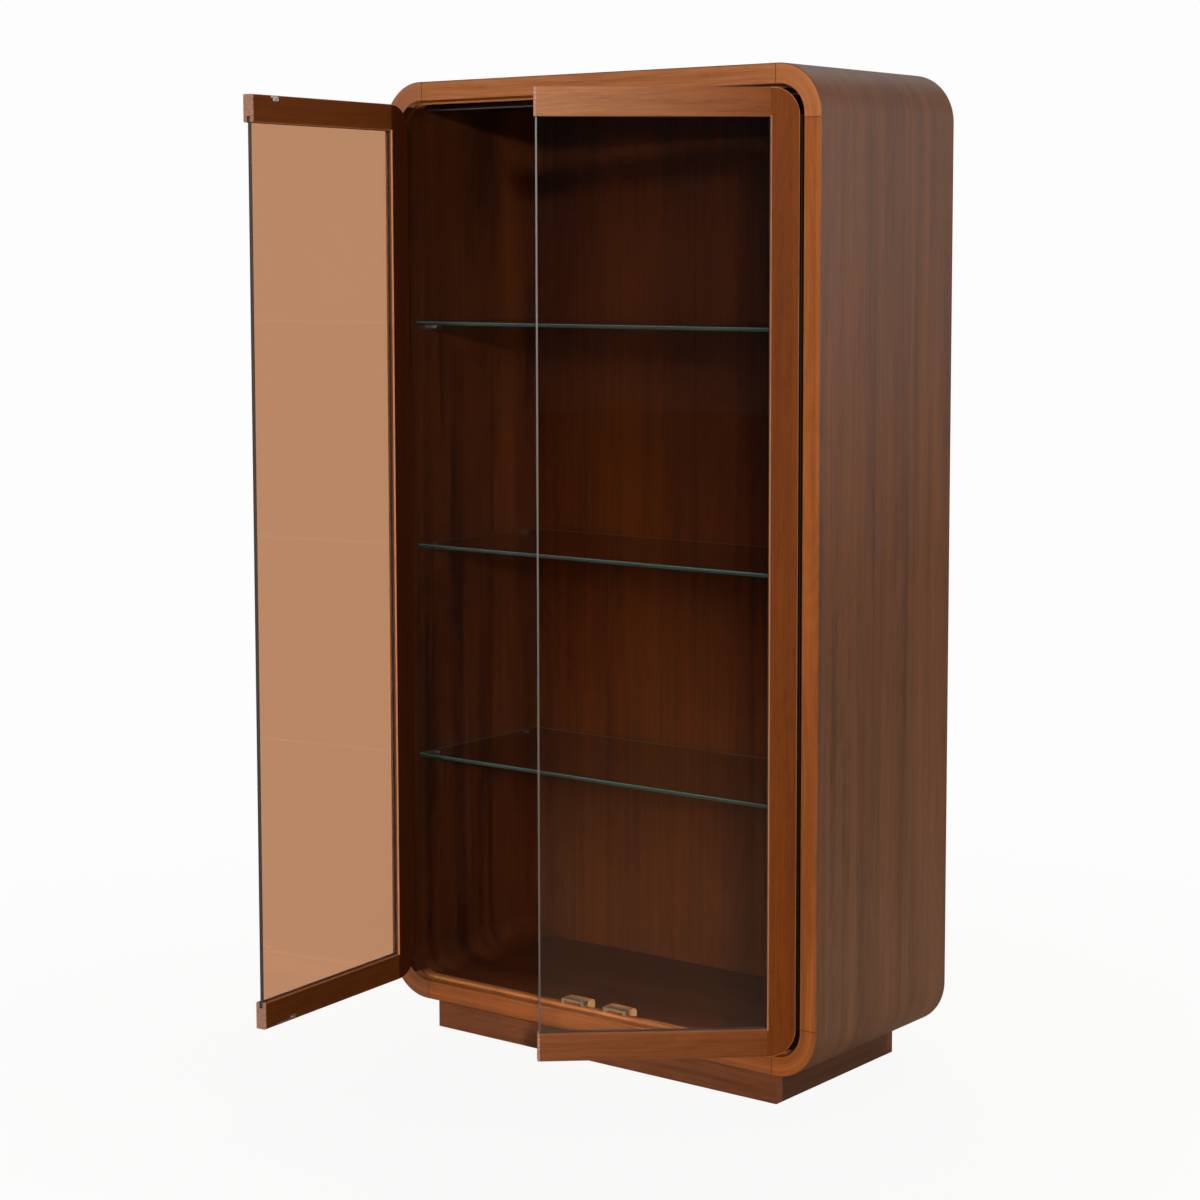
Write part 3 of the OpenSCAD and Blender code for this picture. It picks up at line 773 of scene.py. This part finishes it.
def cross_outline(radius):
    """The twelve corners of a head's cross slot."""
    arm, half = SLOT_REACH, SLOT_HALF
    corners = [(arm, -half), (arm, half), (half, half), (half, arm), (-half, arm), (-half, half),
               (-arm, half), (-arm, -half), (-half, -half), (-half, -arm), (half, -arm),
               (half, -half)]
    return [(radius * x, radius * y) for x, y in corners]


def ring_outline(radius):
    """The corners of a ring."""
    step = math.tau / HEAD_SIDES
    return [(radius * math.cos(i * step), radius * math.sin(i * step)) for i in range(HEAD_SIDES)]


def screw_head(mesh, place, outward, radius):
    """Adds one countersunk cross-slotted head that stands a little proud."""
    turn = outward.to_track_quat("Z", "Y").to_matrix()

    def line(outline, rise):
        return [mesh.verts.new(place + turn @ Vector((x, y, rise))) for x, y in outline]

    def wall(low, high):
        for i in range(len(low)):
            mesh.faces.new((low[i - 1], low[i], high[i], high[i - 1]))

    rings = [line(ring_outline(radius * share), rise) for share, rise in HEAD_RINGS]
    wall(rings[0], rings[1])
    wall(rings[1], rings[2])
    slot_top = line(cross_outline(radius), HEAD_TOP)
    slot_floor = line(cross_outline(radius), SLOT_FLOOR)
    wall(slot_top, slot_floor)
    mesh.faces.new(slot_floor)
    loops = [mesh.edges.get((edge[i - 1], edge[i]))
             for edge in (rings[2], slot_top) for i in range(len(edge))]
    bmesh.ops.triangle_fill(mesh, use_beauty=True, edges=loops)


def add_screws(name, places, outward, radius, body, material):
    """One piece with every screw head of a leaf or strike plate."""
    mesh = bmesh.new()
    for place in places:
        screw_head(mesh, place, outward, radius)
    bmesh.ops.recalc_face_normals(mesh, faces=mesh.faces)
    data = bpy.data.meshes.new(name)
    mesh.to_mesh(data)
    mesh.free()
    piece = bpy.data.objects.new(name, data)
    bpy.context.scene.collection.objects.link(piece)
    data.materials.append(material)
    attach(piece, body)


def closed_turn(side):
    """The turn from a door's closed place to where it stands, about its hinge."""
    joint = joints[side + "_door_hinge"]
    pin = Matrix.Translation(joint["pos_m"])
    turn = Matrix.Rotation(math.radians(-joint["range_deg"][0]), 4, Vector(joint["axis"]))
    return pin @ turn @ pin.inverted()


def hinge_screws(side, material):
    """Screws through the case leaf and the door leaf of one hinge."""
    low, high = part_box(side + "_case_leaf")
    wall_x = -1 if side == "left" else 1
    inside = low[0] + LEAF_T if side == "left" else high[0] - LEAF_T
    across = inside - wall_x * (SIDE_GAP - 2 * LEAF_T)
    step = (high[2] - low[2]) / HINGE_SCREWS
    heights = [low[2] + step * (i + 0.5) for i in range(HINGE_SCREWS)]
    deep = high[1] - HINGE_SCREW_INSET
    places = [Vector((inside, deep, z)) for z in heights]
    add_screws(side + "_case_leaf_screws", places, X * -wall_x, HINGE_SCREW_R,
               "cabinet", material)
    turn = closed_turn(side)
    places = [turn @ Vector((across, deep, z)) for z in heights]
    add_screws(side + "_door_leaf_screws", places, turn.to_3x3() @ (X * wall_x), HINGE_SCREW_R,
               side + "_door", material)


def strike_screws(side, material):
    """A screw through the tab of each strike plate."""
    turn = closed_turn(side)
    back = turn.inverted()
    spots = [back @ vertex.co for vertex in nodes[side + "_strikes"].data.vertices]
    middle = sum(spot.z for spot in spots) / len(spots)
    places = []
    for upper in (False, True):
        plate = [spot for spot in spots if (spot.z > middle) == upper]
        outer_z = max(s.z for s in plate) if upper else min(s.z for s in plate)
        hinge_x = min(s.x for s in plate) if side == "left" else max(s.x for s in plate)
        inward = STRIKE_SCREW_IN if side == "left" else -STRIKE_SCREW_IN
        rise = -STRIKE_SCREW_RISE if upper else STRIKE_SCREW_RISE
        spot = Vector((hinge_x + inward, max(s.y for s in plate), outer_z + rise))
        places.append(turn @ spot)
    add_screws(side + "_strike_screws", places, turn.to_3x3() @ Y, STRIKE_SCREW_R,
               side + "_door", material)


def add_fasteners():
    dark = metal("screw_bronze", SCREW_BRONZE, rough=0.42)
    bright = metal("screw_steel", SCREW_STEEL, rough=0.32)
    for side in ("left", "right"):
        hinge_screws(side, dark)
        strike_screws(side, bright)


# Stage ----------------------------------------------------------------------

WHITE = 0.982
# The photograph is cut out, but its left pane still shows the studio's tan
# wall. Only rays that come through glass see that wall here.
WALL_BEHIND_GLASS = (0.58, 0.295, 0.165, 1)

FLOOR_HALF = 14.0
FLOOR_TINT = (0.82, 0.69, 0.58, 1)
FLOOR_TINT_MIRRORED = (0.88, 0.61, 0.42, 1)
# Nearness on the floor halves with each of these square metres.
FLOOR_FADE = 1.3
# How much of the lit floor the camera sees beside the object.
FLOOR_SHOWN = 0.07
# The lit pool that mirrors see: the power of nearness that shapes it, the span
# of X over which it grows, and its strength.
POOL_SPREAD = 0.3
POOL_X = (-1.5, 0.3)
POOL_SHARE = 0.48

# What lights the scene from all round, for rays that a dull surface sends on.
AMBIENT = 0.035
# What the other rays see: dim in front, bright behind and overhead.
STUDIO_TOWARD = (0.25, 0.80, 0.55)
STUDIO_CLIMB = (-0.15, 0.75)
STUDIO_DIM = 0.02
STUDIO_BRIGHT = 0.5
# A warm patch of it, at the front left.
PATCH_TOWARD = Vector((-0.60, -0.77, 0.24)).normalized()
PATCH_CLIMB = (0.90, 0.985)
PATCH_TINT = (1, 0.93, 0.87, 1)
PATCH_STRENGTH = 1.2

# Any bounce counts as one, so a depth below this has had none.
NO_BOUNCE = 0.5

LAMP_AIM = (0, 0, 0.9)
# Name, place, size, power, colour, and whether mirror rays see the lamp. The
# rear fill is hidden from them, as it would whiten the top at a grazing angle.
LAMPS = (
    ("key", (6.1, -7.1, 2.74), 0.35, 850, (1.0, 0.97, 0.93), True),
    ("side", (4.2, 2.6, 1.8), 2.5, 50, (0.97, 0.99, 1.0), True),
    ("top", (0.5, 0.8, 4.2), 3.0, 40, (1, 1, 1), True),
    ("rear_fill", (-3.6, 4.6, 2.2), 2.5, 260, (1, 1, 1), False),
)


def straight_through_glass(shader, path):
    """1 for a ray that reached here through glass alone, with no other bounce."""
    turns = shader.math("ADD", path["Diffuse Depth"], path["Glossy Depth"])
    unturned = shader.math("LESS_THAN", turns, NO_BOUNCE)
    return shader.math("MULTIPLY", path["Is Transmission Ray"], unturned)


def lit_floor(shader, path, near, place):
    """The floor that takes the lamps' light. Mirrors see only a pool of it."""
    tint = shader.mix(path["Is Glossy Ray"], FLOOR_TINT, FLOOR_TINT_MIRRORED)
    plain = shader.add("BsdfDiffuse", {"Color": tint}).outputs[0]
    unlit = shader.add("BsdfDiffuse", {"Color": grey(0.0)}).outputs[0]
    right = shader.climb(shader.split(place)[0], *POOL_X)
    strength = shader.math("MULTIPLY", right, POOL_SHARE)
    pool = shader.math("MULTIPLY", shader.math("POWER", near, POOL_SPREAD), strength)
    outside_pool = shader.math("SUBTRACT", 1.0, pool)
    return shader.blend(shader.math("MULTIPLY", path["Is Glossy Ray"], outside_pool), plain, unlit)


def floor_material():
    """White to the camera, but for the shadow that it keeps beside the object."""
    shader = Shader("floor")
    path = shader.add("LightPath").outputs
    place = shader.place()
    away = shader.add("VectorMath", {0: place}, operation="LENGTH").outputs["Value"]
    halvings = shader.math("MULTIPLY", shader.math("MULTIPLY", away, away), -1 / FLOOR_FADE)
    near = shader.math("POWER", 2.0, halvings)
    lit = lit_floor(shader, path, near, place)
    white = shader.add("Emission", {"Color": grey(WHITE), "Strength": 1.0}).outputs[0]
    covered = shader.math("SUBTRACT", 1.0, shader.math("MULTIPLY", near, FLOOR_SHOWN))
    base = shader.blend(shader.math("MULTIPLY", path["Is Camera Ray"], covered), lit, white)
    wall = shader.add("Emission", {"Color": WALL_BEHIND_GLASS, "Strength": 1.0}).outputs[0]
    return shader.surface(shader.blend(straight_through_glass(shader, path), base, wall))


def add_floor():
    """A pale floor that keeps the object's shadow and fades into the white."""
    half = FLOOR_HALF
    corners = [(-half, -half, 0), (half, -half, 0), (half, half, 0), (-half, half, 0)]
    mesh = bpy.data.meshes.new("floor")
    mesh.from_pydata(corners, [], [(0, 1, 2, 3)])
    floor = bpy.data.objects.new("floor", mesh)
    bpy.context.scene.collection.objects.link(floor)
    mesh.materials.append(floor_material())


def add_world():
    """White to the camera, the tan wall through glass, and a soft studio to the rest."""
    shader = Shader("studio", world=True)
    path = shader.add("LightPath").outputs

    def background(colour, strength):
        return shader.add("Background", {0: colour, 1: strength}).outputs[0]

    toward = shader.add("TexCoord").outputs["Generated"]
    studio = shader.blend(shader.climb(shader.dot(toward, STUDIO_TOWARD), *STUDIO_CLIMB),
                          background(grey(1), STUDIO_DIM), background(grey(1), STUDIO_BRIGHT))
    studio = shader.blend(shader.climb(shader.dot(toward, PATCH_TOWARD), *PATCH_CLIMB),
                          studio, background(PATCH_TINT, PATCH_STRENGTH))
    unscattered = shader.math("LESS_THAN", path["Diffuse Depth"], NO_BOUNCE)
    base = shader.blend(unscattered, background(grey(1), AMBIENT), studio)
    through = shader.blend(straight_through_glass(shader, path), base,
                           background(WALL_BEHIND_GLASS, 1.0))
    white = background(grey(WHITE), 1.0)
    bpy.context.scene.world = shader.surface(
        shader.blend(path["Is Camera Ray"], through, white))


def add_softbox(name, place, size, power, colour, mirrored):
    """A square lamp that neither the camera nor a ray through glass sees."""
    data = bpy.data.lights.new(name, "AREA")
    data.shape = "SQUARE"
    data.size = size
    data.energy = power
    data.color = colour
    lamp = bpy.data.objects.new(name, data)
    bpy.context.scene.collection.objects.link(lamp)
    lamp.visible_camera = False
    lamp.visible_transmission = False
    lamp.visible_glossy = mirrored
    turn = (Vector(LAMP_AIM) - Vector(place)).to_track_quat("-Z", "Y").to_matrix().to_4x4()
    lamp.matrix_world = Matrix.Translation(place) @ turn


def add_lights():
    for row in LAMPS:
        add_softbox(*row)


add_camera()
finish_wood()
finish_rest()
add_fasteners()
add_floor()
add_world()
add_lights()

scene = bpy.context.scene
scene.view_settings.view_transform = "Standard"
